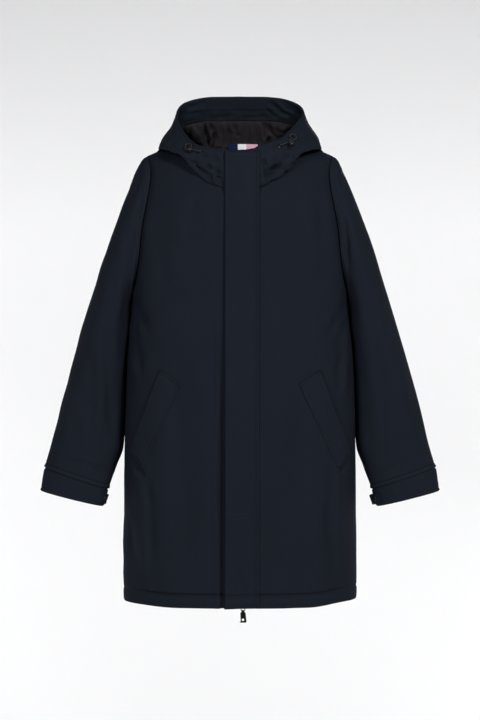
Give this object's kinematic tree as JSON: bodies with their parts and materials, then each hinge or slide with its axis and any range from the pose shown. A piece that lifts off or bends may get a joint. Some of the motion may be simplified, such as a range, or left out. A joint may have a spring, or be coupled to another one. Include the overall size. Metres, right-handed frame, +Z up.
{
  "type": "hooded parka coat",
  "caption": "Knee-length hooded parka standing open and hollow as if worn, with a front flap over its zip, slanted pockets, cuff straps and hood drawcords.",
  "frame": {"origin": "middle of the base of the wearer's neck, level with the shoulders, where the shoulders hold the coat up", "axes": "+X towards the wearer's left, -Y the coat's front, +Z up"},
  "size_m": [0.7962, 0.2892, 1.0391],
  "materials": {
    "shell": "matt woven",
    "lining": "smooth woven",
    "ribbon": "ribbed ribbon in three stripes",
    "zip_tape": "matt woven",
    "metal": "dark plated",
    "plastic": "satin",
    "cord": "braided"
  },
  "bodies": {
    "coat": {"front_right": "shell", "front_left": "shell", "back": "shell", "sleeve_right": "shell", "sleeve_left": "shell", "cuff_right": "shell", "cuff_left": "shell", "cuff_tab_right": "shell", "cuff_tab_left": "shell", "hood_right": "shell", "hood_left": "shell", "hood_facing": "shell", "placket": "shell", "pocket_welt_right": "shell", "pocket_welt_left": "shell", "hood_lining": "lining", "hanger_loop": "ribbon", "zip": "zip_tape", "zip_slider": "metal", "zip_slider_top": "metal", "cuff_snap_right": "metal", "cuff_snap_left": "metal", "eyelet_right": "metal", "eyelet_left": "metal", "cord_lock_right": "plastic", "cord_lock_left": "plastic", "drawcord_right": "cord", "drawcord_left": "cord"},
    "pull": {"zip_pull": "metal"}
  },
  "joints": [
    {"name": "zip_pull_hinge", "type": "hinge", "parent": "coat", "child": "pull", "pos_m": [0.0057, -0.12706, -0.8846], "axis": [1, 0, 0], "range_deg": [-85, 85]}
  ]
}
